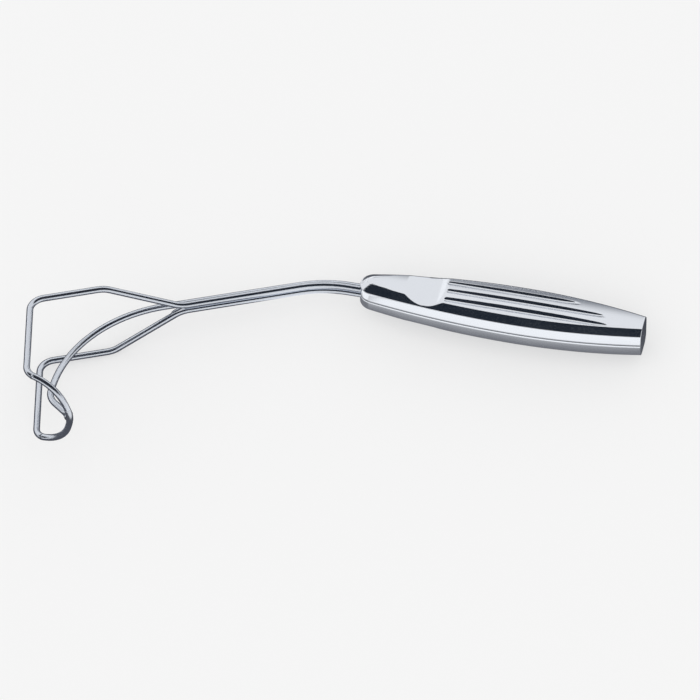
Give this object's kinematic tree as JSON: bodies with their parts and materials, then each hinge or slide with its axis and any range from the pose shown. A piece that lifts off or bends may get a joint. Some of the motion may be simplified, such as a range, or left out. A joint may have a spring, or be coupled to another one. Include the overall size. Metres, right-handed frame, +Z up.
{
  "type": "handheld surgical retractor",
  "caption": "Hand retractor with an open bent-wire blade and turned-in lip on a wire shaft, in a hollow fluted steel handle with a thumb rest.",
  "frame": {"origin": "middle of the bounding box, on the surface that the retractor lies on", "axes": "+X along the tool towards the handle, +Z up as it lies; the blade points to -Y and up"},
  "size_m": [0.2484, 0.061, 0.0544],
  "materials": {
    "shell_steel": "polished stainless steel sheet",
    "plug_steel": "machined stainless steel",
    "wire_steel": "polished stainless steel wire"
  },
  "bodies": {
    "root": {"handle_upper_shell": "shell_steel", "handle_lower_shell": "shell_steel", "nose_plug": "plug_steel", "loop_wire": "wire_steel", "centre_wire": "wire_steel"}
  },
  "joints": []
}
